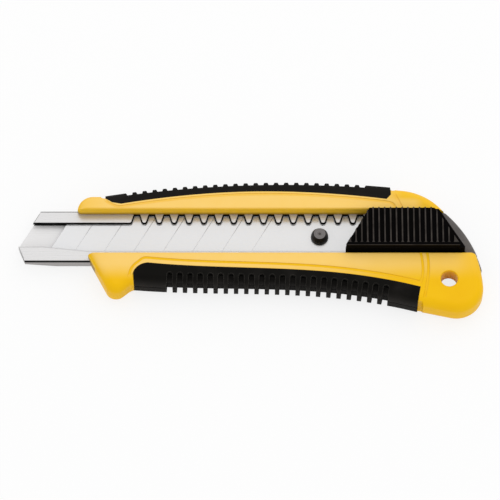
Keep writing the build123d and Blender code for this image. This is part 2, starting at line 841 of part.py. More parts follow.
def snap_blade(tip_x, base_z):
    # A segmented blade lying at base_z with its cutting edge at -Y and its tip at tip_x
    edge_y = channel_line - blade_width / 2
    run = blade_width * slant
    half_edge = edge_thickness / 2
    middle_z = base_z + blade_thickness / 2
    score_count = int((blade_length - first_score - plain_tail) / score_pitch) + 1
    scores = [tip_x + run / 2 + first_score + i * score_pitch for i in range(score_count)]
    with BuildPart() as blank:
        with BuildSketch(Plane.YZ.offset(tip_x)):
            with BuildLine():
                Polyline(
                    (edge_y + blade_width, base_z),
                    (edge_y + blade_width, base_z + blade_thickness),
                    (edge_y + bevel_width, base_z + blade_thickness),
                    (edge_y, middle_z + half_edge),
                    (edge_y, middle_z - half_edge),
                    (edge_y + bevel_width, base_z),
                    close=True,
                )
            make_face()
        extrude(amount=blade_length + run)
        with BuildSketch(Plane.XY.offset(base_z)):
            with BuildLine():
                Polyline(
                    (tip_x, edge_y),
                    (tip_x + blade_length, edge_y),
                    (tip_x + blade_length + run, edge_y + blade_width),
                    (tip_x + run, edge_y + blade_width),
                    close=True,
                )
            make_face()
            with Locations((tip_x + blade_length + run / 2 - pin_to_blade_tail, channel_line)):
                Circle(pin_base_diameter / 2 + slide_gap, mode=Mode.SUBTRACT)
        extrude(amount=blade_thickness, mode=Mode.INTERSECT)
        with BuildSketch(Plane.XY.offset(base_z + blade_thickness)):
            with Locations(*[(x, channel_line) for x in scores]):
                Rectangle(score_width, 2 * blade_width, rotation=blade_angle - 90)
        extrude(amount=-score_depth, mode=Mode.SUBTRACT)
    return blank.part


blade_tip_x = pin_x + pin_to_blade_tail - blade_length - blade_width * slant / 2

with BuildPart() as blade:
    add(snap_blade(blade_tip_x, blade_base))

with BuildPart() as spare_blade_1:
    add(snap_blade(nose_x + spare_blade_setback, plate_base - blade_thickness))

with BuildPart() as spare_blade_2:
    add(snap_blade(nose_x + spare_blade_setback, plate_base - 2 * blade_thickness))


# ---- Magazine behind the blade ----

plug_x = tail_x - cap_setback - plug_length
inner_width = channel_width - 2 * sheet

with BuildPart() as magazine_plate:
    with BuildSketch(Plane.XY.offset(plate_base)):
        with BuildLine():
            plate_front = nose_x + lug_setback + lug_length / 2 + plate_front_gap
            Polyline(
                (plate_front, channel_line - inner_width / 2 + slide_gap),
                (plug_x - plate_end_gap, channel_line - inner_width / 2 + slide_gap),
                (plug_x - plate_end_gap, channel_line + inner_width / 2 - slide_gap),
                (plate_front, channel_line + inner_width / 2 - slide_gap),
                close=True,
            )
        make_face()
    extrude(amount=plate_thickness)

with BuildPart() as magazine_spring:
    low = floor_z + spring_thickness / 2
    high = plate_base - 2 * blade_thickness - fit_gap - spring_thickness / 2
    spring_front_x = nose_x + spring_front_setback
    half_wave = (plug_x - spring_end_gap - spring_front_x) / spring_half_waves
    with BuildSketch(Plane.XZ.offset(-channel_line)):
        with BuildLine() as wave:
            crests = [
                (spring_front_x + i * half_wave, high if i % 2 else low)
                for i in range(spring_half_waves + 1)
            ]
            Spline(*crests, tangents=[(1, 0) for crest in crests])
        trace(wave.line, line_width=spring_thickness)
    extrude(amount=spring_width / 2, both=True)


# ---- Sliding pieces ----

slider_low = slot_low + slider_side_gap
slider_high = slot_high - slider_side_gap
slider_front_run = (slider_high - slider_low) * slant
slider_tail_run = slider_length - slider_spine_length
carrier_front_x = pin_x + pin_to_blade_tail + carrier_front_gap
carrier_width = inner_width - 2 * carrier_gap
carrier_top = lip_z - sheet - slide_gap
neck_low = lower_lip_y + carrier_neck_gap
neck_high = upper_lip_y - carrier_neck_gap
lock_root = (catch_x - lock_root_to_catch, neck_high - spring_bay_width / 2)
slider_screw_place = (
    carrier_front_x + slider_screw_setback,
    (neck_low + neck_high - spring_bay_width) / 2,
)


def slider_outline(side_inset, front_inset, tail_inset):
    # The button in plan, with its front along the blade's slant
    low = slider_low + side_inset
    high = slider_high - side_inset
    tail_slope = slider_tail_run / (slider_high - slider_low)
    with BuildSketch() as outline:
        with BuildLine():
            Polyline(
                (slider_front_x + side_inset * slant + front_inset, low),
                (slider_tail_x - side_inset * tail_slope - tail_inset, low),
                (slider_tail_x - slider_tail_run + side_inset * tail_slope - tail_inset, high),
                (slider_front_x + slider_front_run - side_inset * slant + front_inset, high),
                close=True,
            )
        make_face()
    return outline.sketch


with BuildPart() as blade_tongue:
    with BuildSketch(Plane.XY.offset(tongue_base)) as tongue_plan:
        with BuildLine():
            tongue_front = pin_x - tongue_nose
            tongue_end = carrier_front_x + tongue_seat
            Polyline(
                (tongue_front, channel_line - tongue_width / 2),
                (tongue_end, channel_line - tongue_width / 2),
                (tongue_end, channel_line + tongue_width / 2),
                (tongue_front, channel_line + tongue_width / 2),
                close=True,
            )
        make_face()
        fillet(tongue_plan.vertices().group_by(Axis.X)[0], tongue_width / 2 - 0.1)
        with Locations((pin_x, channel_line)):
            Circle(pin_shank_diameter / 2, mode=Mode.SUBTRACT)
    extrude(amount=tongue_thickness)

with BuildPart() as blade_pin:
    with BuildSketch(Plane(origin=(pin_x, channel_line, 0), x_dir=(1, 0, 0), z_dir=(0, -1, 0))):
        with BuildLine():
            Polyline(
                (0, tongue_base),
                (pin_shank_diameter / 2, tongue_base),
                (pin_shank_diameter / 2, tongue_top),
                (pin_base_diameter / 2, tongue_top),
                (pin_base_diameter / 2, blade_top + pin_collar_height),
                (pin_top_diameter / 2, blade_top + pin_height),
                (pin_dimple_diameter / 2, blade_top + pin_height),
                (0, blade_top + pin_height - pin_dimple_diameter / 2),
                close=True,
            )
        make_face()
    revolve(axis=Axis((pin_x, channel_line, 0), (0, 0, 1)))

with BuildPart() as slider_carrier:
    with BuildSketch(Plane.XY.offset(tongue_base)):
        with BuildLine():
            half_run = carrier_width / 2 * slant
            carrier_low = channel_line - carrier_width / 2
            carrier_high = channel_line + carrier_width / 2
            Polyline(
                (carrier_front_x - half_run, carrier_low),
                (carrier_front_x + carrier_length, carrier_low),
                (carrier_front_x + carrier_length, carrier_high),
                (carrier_front_x + half_run, carrier_high),
                close=True,
            )
        make_face()
    extrude(amount=carrier_top - tongue_base)
    # Neck between the lips, with a bay for the lock spring
    with BuildSketch(Plane.XY.offset(carrier_top)):
        with BuildLine():
            neck_front_x = carrier_front_x + neck_setback
            Polyline(
                (neck_front_x - (channel_line - neck_low) * slant, neck_low),
                (carrier_front_x + carrier_length, neck_low),
                (carrier_front_x + carrier_length, neck_high),
                (neck_front_x + (neck_high - channel_line) * slant, neck_high),
                close=True,
            )
        make_face()
        with Locations((carrier_front_x + spring_bay_start, neck_high)):
            Rectangle(
                carrier_length - spring_bay_start - spring_bay_end,
                spring_bay_width,
                align=(Align.MIN, Align.MAX),
                mode=Mode.SUBTRACT,
            )
    extrude(amount=slider_base_z - carrier_top)
    with BuildSketch(Plane.XY.offset(slider_base_z)):
        block_low = slider_low + slider_top_inset + slider_wall + carrier_gap
        with Locations((carrier_front_x + carrier_length, block_low)):
            Rectangle(
                carrier_length - spring_bay_start - carrier_gap,
                neck_high - spring_bay_width - block_low,
                align=(Align.MAX, Align.MIN),
            )
    extrude(amount=carrier_block_height)
    with BuildSketch(Plane.XY.offset(tongue_base)):
        with Locations((carrier_front_x + tongue_seat, channel_line)):
            Rectangle(2 * tongue_seat, tongue_width, align=(Align.MAX, Align.CENTER))
    extrude(amount=tongue_thickness, mode=Mode.SUBTRACT)
    with BuildSketch(Plane.XY.offset(tongue_base)):
        with Locations(slider_screw_place):
            Circle(screw_head_diameter / 2 + screw_gap)
    extrude(amount=screw_head_height + screw_sink, mode=Mode.SUBTRACT)
    with BuildSketch(Plane.XY.offset(tongue_base)):
        with Locations(slider_screw_place):
            Circle(screw_diameter / 2 + screw_gap)
    extrude(amount=body_thickness, mode=Mode.SUBTRACT)

with BuildPart() as slider_button:
    with BuildSketch(Plane.XY.offset(slider_base_z)) as base_plan:
        add(slider_outline(0, 0, 0))
        fillet(base_plan.vertices(), slider_corner_round)
    extrude(amount=slider_base_height)
    chamfer(slider_button.edges().group_by(Axis.Z)[-1], slider_side_chamfer)
    with BuildSketch(Plane.XY.offset(slider_step_z)) as top_plan:
        add(slider_outline(slider_top_inset, slider_top_inset / 2, slider_tail_inset))
        fillet(top_plan.vertices(), slider_corner_round)
    extrude(amount=slider_top_z - slider_step_z)
    fillet(slider_button.edges().group_by(Axis.Z)[-1], slider_edge_round)
    # Ribs across the thumb face, left between grooves that run out over the spine side
    rib_run = slider_length - slider_rib_start - slider_rib_end
    with BuildSketch(Plane.XY.offset(slider_top_z)):
        for index in range(int(rib_run / slider_rib_pitch) + 1):
            groove_x = slider_front_x + slider_rib_start + index * slider_rib_pitch
            with Locations((groove_x, slider_low + slider_rib_margin + slot_width / 2)):
                SlotOverall(slot_width, slider_rib_groove, rotation=90)
    extrude(amount=-slider_rib_depth, mode=Mode.SUBTRACT)
    with BuildSketch(Plane.XY.offset(slider_base_z)):
        add(slider_outline(slider_top_inset, slider_top_inset / 2, slider_tail_inset))
        offset(amount=-slider_wall, mode=Mode.REPLACE)
    extrude(amount=slider_top_z - slider_roof - slider_base_z, mode=Mode.SUBTRACT)
    with BuildSketch(Plane.XY.offset(slider_base_z + carrier_block_height)):
        with Locations(slider_screw_place):
            Circle(slider_screw_boss / 2)
            Circle(screw_diameter / 2, mode=Mode.SUBTRACT)
    extrude(amount=slider_top_z - slider_roof - slider_base_z - carrier_block_height)

with BuildPart() as slider_screw:
    add(screw(tongue_base + screw_sink, slider_screw_length, [slider_screw_place]))

with BuildPart() as lock_spring:
    lock_knee_y = upper_lip_y - lock_wire / 2 - lock_lip_gap
    lock_tip_y = upper_lip_y + catch_reach - lock_wire / 2
    with BuildSketch(Plane.XY.offset(carrier_top + carrier_gap)):
        with BuildLine() as wire:
            FilletPolyline(
                lock_root,
                (catch_x - catch_half_width, lock_knee_y),
                (catch_x, lock_tip_y),
                (catch_x + catch_half_width, lock_knee_y),
                radius=lock_bend,
            )
        trace(wire.line, line_width=lock_wire)
    extrude(amount=lock_wire_height)


# ---- End cap ----


def slider_tail_line(y):
    # X of the parked slider's slanted tail at height y
    return slider_tail_x - (y - slider_low) * slider_tail_run / (slider_high - slider_low)


cap_base_z = back_wall + carrier_gap
cap_mid_z = lip_z - carrier_gap
cap_top_z = body_thickness - cap_face_drop

with BuildPart() as end_cap:
    with BuildSketch(Plane.XY.offset(cap_base_z)):
        with Locations(mouth.arc_center):
            Circle(mouth_radius + cap_proud)
        with Locations((tail_x - cap_setback, slot_low - cap_lug + cap_gap)):
            Rectangle(
                2 * cap_setback,
                channel_high - slot_low + cap_lug - 2 * cap_gap,
                align=Align.MIN,
                mode=Mode.INTERSECT,
            )
    extrude(amount=cap_mid_z - cap_base_z)
    with BuildSketch(Plane.XY.offset(cap_mid_z)):
        with Locations(mouth.arc_center):
            Circle(mouth_radius + cap_proud)
        with BuildLine():
            side_low = slot_low + cap_gap
            side_high = slot_high - cap_gap
            Polyline(
                (slider_tail_line(side_low) + slider_rest_gap, side_low),
                (tail_x + 1, side_low),
                (tail_x + 1, side_high),
                (slider_tail_line(side_high) + slider_rest_gap, side_high),
                close=True,
            )
        make_face(mode=Mode.INTERSECT)
    extrude(amount=cap_top_z - cap_mid_z)
    outer_edges = end_cap.edges().filter_by(GeomType.CIRCLE)
    fillet(outer_edges.group_by(Axis.Z)[0] + outer_edges.group_by(Axis.Z)[-1], cap_edge_round)
    # Plug that closes the channel behind the spare blades
    with BuildSketch(Plane.YZ.offset(plug_x)):
        with Locations((channel_line, back_wall + channel_depth / 2)):
            Rectangle(inner_width - 2 * carrier_gap, channel_depth - 2 * sheet - 2 * carrier_gap)
    extrude(amount=tail_x - cap_setback - plug_x)


# ---- One STEP file for each piece ----

pieces = {
    "back_shell": back_shell,
    "upper_front_shell": upper_front_shell,
    "lower_front_shell": lower_front_shell,
    "upper_grip": upper_grip,
    "lower_grip": lower_grip,
    "shell_screws": shell_screws,
    "blade_channel": blade_channel,
    "channel_rivets": channel_rivets,
    "blade": blade,
    "blade_tongue": blade_tongue,
    "blade_pin": blade_pin,
    "slider_carrier": slider_carrier,
    "slider_button": slider_button,
    "slider_screw": slider_screw,
    "lock_spring": lock_spring,
    "magazine_spring": magazine_spring,
    "magazine_plate": magazine_plate,
    "spare_blade_1": spare_blade_1,
    "spare_blade_2": spare_blade_2,
    "end_cap": end_cap,
}
for label, piece in pieces.items():
    piece.part.label = label
    export_step(piece.part, f"parts/{label}.step")
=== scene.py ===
import json
import math
import bmesh
import bpy
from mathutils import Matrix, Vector


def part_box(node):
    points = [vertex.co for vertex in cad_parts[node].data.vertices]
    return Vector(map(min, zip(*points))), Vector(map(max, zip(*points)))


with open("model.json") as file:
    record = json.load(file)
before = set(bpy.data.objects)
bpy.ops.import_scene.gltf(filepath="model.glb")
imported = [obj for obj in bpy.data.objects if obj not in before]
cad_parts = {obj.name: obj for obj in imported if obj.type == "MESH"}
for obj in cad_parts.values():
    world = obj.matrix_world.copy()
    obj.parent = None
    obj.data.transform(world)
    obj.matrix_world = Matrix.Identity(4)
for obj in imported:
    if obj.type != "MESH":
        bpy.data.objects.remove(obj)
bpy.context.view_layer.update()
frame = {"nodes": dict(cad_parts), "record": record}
nodes = frame["nodes"]
print("knife: frame loaded")


# Shader maths: a socket that Python's operators work on, and a finish that makes the nodes

class Wire:
    def __init__(self, finish, socket):
        self.finish = finish
        self.socket = socket

    def maths(self, operation, *values):
        return self.finish.node("ShaderNodeMath", {"operation": operation}, dict(enumerate(values)))

    def __add__(self, other):
        return self.maths("ADD", self, other)

    __radd__ = __add__

    def __sub__(self, other):
        return self.maths("SUBTRACT", self, other)

    def __rsub__(self, other):
        return self.maths("SUBTRACT", other, self)

    def __mul__(self, other):
        return self.maths("MULTIPLY", self, other)

    __rmul__ = __mul__

    def clamp(self):
        return self.finish.node("ShaderNodeClamp", {}, {"Value": self})

    def size(self):  # distance from zero
        return self.maths("ABSOLUTE", self)

    def ramp(self, low, high):  # 0 at low, 1 at high, smooth between
        return self.finish.node("ShaderNodeMapRange", {"interpolation_type": "SMOOTHSTEP"},
                                {"Value": self, "From Min": low, "From Max": high})

    def swing(self, amount):  # a 0 to 1 pattern made to vary by amount about zero
        return (self - 0.5) * amount


class Finish:
    def __init__(self, name):
        self.material = bpy.data.materials.new(name)
        self.material.use_nodes = True
        self.tree = self.material.node_tree
        self.shader = self.tree.nodes["Principled BSDF"]
        self.place = self.node("ShaderNodeTexCoord", {}, {}, "Object")

    def node(self, kind, settings, inputs, output=0):
        made = self.tree.nodes.new(kind)
        for key, value in settings.items():
            setattr(made, key, value)
        for key, value in inputs.items():
            self.feed(made.inputs[key], value)
        return Wire(self, made.outputs[output])

    def feed(self, socket, value):
        if isinstance(value, Wire):
            self.tree.links.new(value.socket, socket)
        else:
            socket.default_value = value

    def set(self, **values):
        for key, value in values.items():
            self.feed(self.shader.inputs[key.replace("_", " ")], value)

    def noise(self, scale, detail=2.0, rough=0.5, place=None):
        return self.node("ShaderNodeTexNoise", {}, {"Vector": place or self.place, "Scale": scale,
                                                    "Detail": detail, "Roughness": rough})

    def stretched(self, scale):  # object coordinates scaled along each axis
        return self.node("ShaderNodeMapping", {}, {"Vector": self.place, "Scale": scale})

    def vectors(self, operation, one, two, output=0):
        return self.node("ShaderNodeVectorMath", {"operation": operation}, {0: one, 1: two}, output)

    def mix(self, factor, one, two):  # of colours, which are sockets 6 and 7 and output 2
        return self.node("ShaderNodeMix", {"data_type": "RGBA", "clamp_factor": True},
                         {"Factor": factor, 6: one, 7: two}, 2)

    def part(self, vector, axis):
        return self.node("ShaderNodeSeparateXYZ", {}, {"Vector": vector}, axis)

    def at(self, axis):  # the object coordinate along an axis, in metres
        return self.part(self.place, axis)

    def normal(self):
        return self.node("ShaderNodeNewGeometry", {}, {}, "Normal")

    def up(self):  # 1 on faces that look up, 0 on walls
        return self.part(self.normal(), "Z")

    def bump(self, height, distance, strength, normal):
        return self.node("ShaderNodeBump", {}, {"Height": height, "Distance": distance,
                                                "Strength": strength, "Normal": normal})

    def softEdges(self, radius):  # normal with the edges rounded by radius
        return self.node("ShaderNodeBevel", {"samples": 6}, {"Radius": radius})

    def edgeMask(self, soft, sharpness):  # 1 on edges, 0 on flats
        cosine = self.vectors("DOT_PRODUCT", soft, self.normal(), "Value")
        return (1 - cosine).ramp(0.0, sharpness)

    def rubbedAndHighlit(self, soft, look):  # patchy wear and painted highlight along the edges
        patches = self.noise(*look["rubAndSheenPatches"]).ramp(*look["rubAndSheenFade"])
        patches = patches * (1 - look["rubAndSheenLeast"]) + look["rubAndSheenLeast"]
        return self.edgeMask(soft, look["rubAndSheenSharpness"]) * patches


def rgb(red, green, blue):  # screen colour, 0 to 255, to the linear colour that nodes take
    def linear(value):
        value /= 255
        return value / 12.92 if value <= 0.04045 else ((value + 0.055) / 1.055) ** 2.4
    return (linear(red), linear(green), linear(blue), 1.0)


# In the dictionaries below, lengths are in metres, a pair is where a fade starts and ends,
# a noise is its scale, detail and roughness, and a bump is its distance and strength

# Golden yellow moulded plastic, with a painted sheen on the flats beside the slot and painted shade
# in the border grooves and on the slot's wall

mouldingLook = {
    "colour": rgb(249, 195, 10), "deep": rgb(243, 181, 4), "ripple": (90.0, 3.0),
    "deepRipple": (0.35, 0.75), "deepShare": 0.3,
    # the painted sheen on the flats facing up, and where it fades
    "paintedSheen": rgb(255, 212, 118), "facing": (0.50, 0.94),
    "slotCentre": 0.0062, "paleReach": (0.0128, 0.0205),
    "mottle": (240.0, 4.0), "mottleLevel": 0.94, "mottleSwing": 0.24,
    "frontFade": (-0.064, -0.050), "frontPale": 0.5,
    "rearFade": (0.030, 0.075), "rearLoss": 0.4,
    "capFade": (0.047, 0.056), "capSide": (0.0172, 0.0192),
    "tipFade": (0.059, 0.063), "tipSide": (0.011, 0.014), "tipLoss": 0.8,
    "tailFade": (0.072, 0.080), "tailLoss": 0.6,
    # the border grooves, whose floor lies a little under the front faces; their floor is painted
    # deeper yellow as painted shade
    "groove": rgb(248, 198, 24), "grooveFloor": (0.01073, 0.01078), "grooveTop": (0.01088, 0.01100),
    "flat": (0.999, 0.9999), "upperSide": (0.0062, 0.0082), "upperLoss": 0.6,
    # the slot's wall: painted light on it, and painted shade low on it towards the channel
    "wallLit": rgb(255, 206, 40), "wallShade": rgb(104, 72, 22), "wallLean": (0.2, 0.5),
    "wallReach": (0.0135, 0.0145), "wallHeights": (0.0062, 0.0086), "shadeShare": 0.75,
    # edges paler with dust and painted highlight, and the surface
    "dustAndSheen": rgb(255, 224, 150), "rubAndSheenSharpness": 0.25, "rubAndSheenPatches": (700.0, 2.0),
    "rubAndSheenFade": (0.35, 0.7), "rubAndSheenLeast": 0.0, "rubAndSheenShare": 0.25, "edge": 0.00022,
    "roughness": 0.36, "grain": (2600.0, 3.0, 0.6), "grainSwing": 0.12, "rippleRough": 0.04,
    "bump": (0.00003, 0.35), "ior": 1.5, "specular": 0.1,
}


def goldenMoulding():
    look = mouldingLook
    finish = Finish("goldenMoulding")
    along, across, height = (finish.at(axis) for axis in "XYZ")
    up = finish.up()
    fromSlot = (across - look["slotCentre"]).size()
    soft = finish.softEdges(look["edge"])
    flow = finish.noise(*look["ripple"])
    grain = finish.noise(*look["grain"])
    deeper = flow.ramp(*look["deepRipple"]) * look["deepShare"]
    colour = finish.mix(deeper, look["colour"], look["deep"])

    # painted sheen: flats facing up beside the slot are painted paler, standing in for the
    # softbox's reflection
    paintedSheen = finish.part(soft, "Z").ramp(*look["facing"]) * (1 - fromSlot.ramp(*look["paleReach"]))
    paintedSheen = paintedSheen * (look["mottleLevel"] + finish.noise(*look["mottle"]).swing(look["mottleSwing"]))
    paintedSheen = paintedSheen * (along.ramp(*look["frontFade"]) * (1 - look["frontPale"]) + look["frontPale"])
    rearTip = along.ramp(*look["capFade"]) * across.ramp(*look["capSide"])
    rearTip = (rearTip + along.ramp(*look["tipFade"]) * across.ramp(*look["tipSide"])).clamp()
    paintedSheen = paintedSheen * (1 - along.ramp(*look["rearFade"]) * look["rearLoss"])
    paintedSheen = paintedSheen * (1 - rearTip * look["tipLoss"])
    paintedSheen = paintedSheen * (1 - along.ramp(*look["tailFade"]) * look["tailLoss"])
    colour = finish.mix(paintedSheen, colour, look["paintedSheen"])

    # painted shade: the groove floors painted deeper yellow, without the painted sheen, fainter on
    # the upper side
    groove = height.ramp(*look["grooveFloor"]) * (1 - height.ramp(*look["grooveTop"]))
    fainter = across.ramp(*look["upperSide"]) * look["upperLoss"]
    groove = groove * up.ramp(*look["flat"]) * (1 - fainter)
    colour = finish.mix(groove, colour, look["groove"])

    # painted light on the slot's wall, and painted shade low on it towards the channel
    wall = (1 - up.size().ramp(*look["wallLean"])) * (1 - fromSlot.ramp(*look["wallReach"]))
    lowOnWall = wall * (1 - height.ramp(*look["wallHeights"])) * look["shadeShare"]
    colour = finish.mix(wall, colour, look["wallLit"])
    colour = finish.mix(lowOnWall, colour, look["wallShade"])

    # dust and painted highlight: the edges painted paler
    colour = finish.mix(finish.rubbedAndHighlit(soft, look) * look["rubAndSheenShare"], colour, look["dustAndSheen"])
    rough = look["roughness"] + grain.swing(look["grainSwing"]) + flow * look["rippleRough"]
    finish.set(Base_Color=colour, Roughness=rough, IOR=look["ior"],
               Specular_IOR_Level=look["specular"], Normal=finish.bump(grain, *look["bump"], soft))
    return finish.material


# Black rubber grips: recess floors painted black as painted shade, a dark parting line, rib edges
# paler with wear and painted highlight, and the upper grip and leaning faces painted lighter as
# painted light

gripLook = {
    # the upper grip and the leaning faces are painted lighter: painted light
    "colour": rgb(17, 16, 14), "upper": rgb(27, 25, 23), "upperSide": (0.008, 0.012),
    "side": rgb(40, 38, 36), "lean": (0.2, 0.95), "sideShare": 0.8,
    "wearAndHighlight": rgb(84, 80, 76), "rubAndSheenSharpness": 0.16, "rubAndSheenPatches": (500.0, 3.0),
    "rubAndSheenFade": (0.3, 0.7), "rubAndSheenLeast": 0.45, "rubAndSheenShare": 0.8,
    "bloom": (120.0, 4.0), "bloomFade": (0.45, 0.8), "bloomShare": 0.08,
    # the recess floors, painted near black as painted shade, and the dark parting line
    "deep": rgb(1, 1, 1), "flat": (0.99, 0.999), "recess": (0.0099, 0.0102),
    "parting": 0.0062, "partingWidth": (0.000176, 0.00022),
    # the surface
    "edge": 0.00028, "roughness": 0.62, "roughPatches": 900.0, "patchRough": 0.12,
    "pores": 3800.0, "bump": (0.00003, 0.5), "ior": 1.48, "specular": 0.04,
}


def gripRubber():
    look = gripLook
    finish = Finish("gripRubber")
    height, up = finish.at("Z"), finish.up()
    soft = finish.softEdges(look["edge"])
    # painted light: the upper grip and the leaning faces painted lighter
    colour = finish.mix(finish.at("Y").ramp(*look["upperSide"]), look["colour"], look["upper"])
    leaning = 1 - up.size().ramp(*look["lean"])
    colour = finish.mix(leaning * look["sideShare"], colour, look["side"])
    bloom = finish.noise(*look["bloom"]).ramp(*look["bloomFade"])
    # wear, rubber bloom and painted highlight along the edges
    wearAndHighlight = finish.rubbedAndHighlit(soft, look) * look["rubAndSheenShare"] + bloom * look["bloomShare"]
    colour = finish.mix(wearAndHighlight, colour, look["wearAndHighlight"])

    # painted shade in the recess floors; the parting line is a dark joint
    recess = up.ramp(*look["flat"]) * (1 - height.ramp(*look["recess"]))
    line = 1 - (height - look["parting"]).size().ramp(*look["partingWidth"])
    colour = finish.mix((recess + line).clamp(), colour, look["deep"])
    pores = finish.node("ShaderNodeTexVoronoi", {},
                        {"Vector": finish.place, "Scale": look["pores"]}, "Distance")
    rough = look["roughness"] + finish.noise(look["roughPatches"]) * look["patchRough"]
    finish.set(Base_Color=colour, Roughness=rough, IOR=look["ior"],
               Specular_IOR_Level=look["specular"], Normal=finish.bump(pores, *look["bump"], soft))
    return finish.material


# Folded steel channel: brushed lips, smooth floor, painted shade in black at the sheared edges,
# under the lips and in the nose corner

channelLook = {
    "colour": rgb(204, 203, 203), "dark": rgb(197, 196, 195), "floor": rgb(232, 231, 231),
    # the upright walls, painted darker: painted shade
    "wall": rgb(160, 156, 155), "wallLean": (0.78, 0.88),
    "brushAlong": (60.0, 5200.0, 3000.0), "brush": (1.0, 4.0, 0.6), "brushFade": (0.3, 0.8),
    "stain": (70.0, 4.0), "stainFade": (0.45, 0.85), "darkShare": 0.15, "floorCalm": 0.8,
    # what is painted black: the sheared edges of the opening, partly their own darker cut and
    # partly painted shade, and as painted shade the fold under the lips, the rims of the lips, and
    # the floor's corner under the upper lip at the nose
    "cut": rgb(3, 3, 3), "opening": (0.0088, 0.0089), "sheared": (0.0008, 0.0009),
    "foldTop": (0.0001, 0.0002), "foldFoot": (0.0013, 0.0014), "lipTop": (0.00001, 0.00002),
    "upperHalf": (-0.001, 0.001), "rim": 0.0006, "lowerSharpness": 0.02, "lowerRim": 0.25,
    "upperSharpness": 0.12, "upperRim": 0.75,
    "corner": (0.0046, 0.00475), "cornerEnd": (-0.048, -0.047),
    # the surface
    "edge": 0.0001, "roughness": 0.28, "brushSwing": 0.06, "cutRough": 0.3, "cutLoss": 0.8,
    "lipLoss": 0.45, "floorLoss": 0.45, "bump": (0.000004, 0.25), "specular": 0.1,
}


def channelSteel():
    look = channelLook
    finish = Finish("channelSteel")
    low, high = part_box("blade_channel")
    across = finish.at("Y")
    offCentre = across - (low[1] + high[1]) / 2
    depth = high[2] - finish.at("Z")  # below the lips' tops
    soft = finish.softEdges(look["edge"])
    scale, detail, rough = look["brush"]
    brush = finish.noise(scale, detail, rough, finish.stretched(look["brushAlong"]))
    stain = finish.noise(*look["stain"]).ramp(*look["stainFade"])

    upright = 1 - finish.up().size().ramp(*look["wallLean"])
    opening = 1 - offCentre.size().ramp(*look["opening"])
    lipTop = 1 - depth.ramp(*look["lipTop"])
    inside = (1 - upright) * (1 - lipTop)
    sheared = upright * opening * (1 - depth.ramp(*look["sheared"]))
    fold = depth.ramp(*look["foldTop"]) * (1 - depth.ramp(*look["foldFoot"]))
    fold = fold * upright * (1 - opening)

    upperHalf = offCentre.ramp(*look["upperHalf"])
    nearEdge = finish.softEdges(look["rim"])
    lowerRim = finish.edgeMask(nearEdge, look["lowerSharpness"]) * look["lowerRim"]
    upperRim = finish.edgeMask(nearEdge, look["upperSharpness"]) * look["upperRim"]
    rims = (lowerRim * (1 - upperHalf) + upperRim * upperHalf) * lipTop * opening
    corner = inside * (1 - (high[1] - across).ramp(*look["corner"]))
    corner = corner * (1 - finish.at("X").ramp(*look["cornerEnd"]))
    # painted shade in black, with the sheared edges' own darker cut
    cut = (sheared + fold + rims + corner).clamp()

    calm = 1 - inside * look["floorCalm"]
    streaks = (brush.ramp(*look["brushFade"]) + stain) * look["darkShare"]
    colour = finish.mix(inside, look["colour"], look["floor"])
    colour = finish.mix(streaks * calm, colour, look["dark"])
    # painted shade: the upright walls painted darker
    colour = finish.mix(upright, colour, look["wall"])
    colour = finish.mix(cut, colour, look["cut"])
    metal = 1 - (1 - upright) * look["lipLoss"] - inside * look["floorLoss"]
    rough = look["roughness"] + brush.swing(look["brushSwing"]) + cut * look["cutRough"]
    finish.set(Base_Color=colour, Metallic=metal * (1 - cut * look["cutLoss"]), Roughness=rough,
               Specular_IOR_Level=look["specular"],
               Normal=finish.bump(brush * calm, *look["bump"], soft))
    return finish.material


# Ground blade: fine marks along it, a film of oil, darker score lines

bladeLook = {
    "colour": rgb(207, 207, 208), "dark": rgb(196, 196, 198),
    "groundAlong": (300.0, 9000.0, 300.0), "ground": (1.0, 3.0, 0.6), "groundFade": (0.3, 0.8),
    "groundShare": 0.18, "oil": (55.0, 4.0), "oilFade": (0.4, 0.85), "oilShare": 0.15,
    "score": rgb(120, 118, 117), "flat": (0.998, 0.9999),
    "scoreTop": (0.00004, 0.00006), "scoreFoot": (0.0003, 0.00035),
    "edge": 0.00005, "metal": 0.55, "roughness": 0.24, "groundSwing": 0.1,
    "bump": (0.000004, 0.35),
}


def bladeSteel():
    look = bladeLook
    finish = Finish("bladeSteel")
    soft = finish.softEdges(look["edge"])
    scale, detail, rough = look["ground"]
    ground = finish.noise(scale, detail, rough, finish.stretched(look["groundAlong"]))
    oil = finish.noise(*look["oil"]).ramp(*look["oilFade"])
    film = ground.ramp(*look["groundFade"]) * look["groundShare"] + oil * look["oilShare"]
    colour = finish.mix(film, look["colour"], look["dark"])
    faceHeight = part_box("blade")[1][2]
    depth = faceHeight - finish.at("Z")  # below the blade's face
    scored = depth.ramp(*look["scoreTop"]) * (1 - depth.ramp(*look["scoreFoot"]))
    scored = scored * finish.up().ramp(*look["flat"])
    colour = finish.mix(scored, colour, look["score"])
    finish.set(Base_Color=colour, Metallic=look["metal"],
               Roughness=look["roughness"] + ground.swing(look["groundSwing"]),
               Normal=finish.bump(ground, *look["bump"], soft))
    return finish.material


# Turned pin: lathe rings on the grey top, and the cone below painted dark as painted shade

pinLook = {
    "colour": rgb(112, 108, 107), "lathe": rgb(84, 81, 80), "rings": 9000.0, "ringShare": 0.25,
    "grain": (2500.0, 3.0), "grainShare": 0.2,
    # the cone below the top, painted dark: painted shade
    "dark": rgb(24, 23, 22), "topRadius": (0.00200, 0.00215),
    "edge": 0.0001, "metal": 0.6, "roughness": 0.38, "grainRough": 0.12, "bump": (0.000006, 0.3),
}


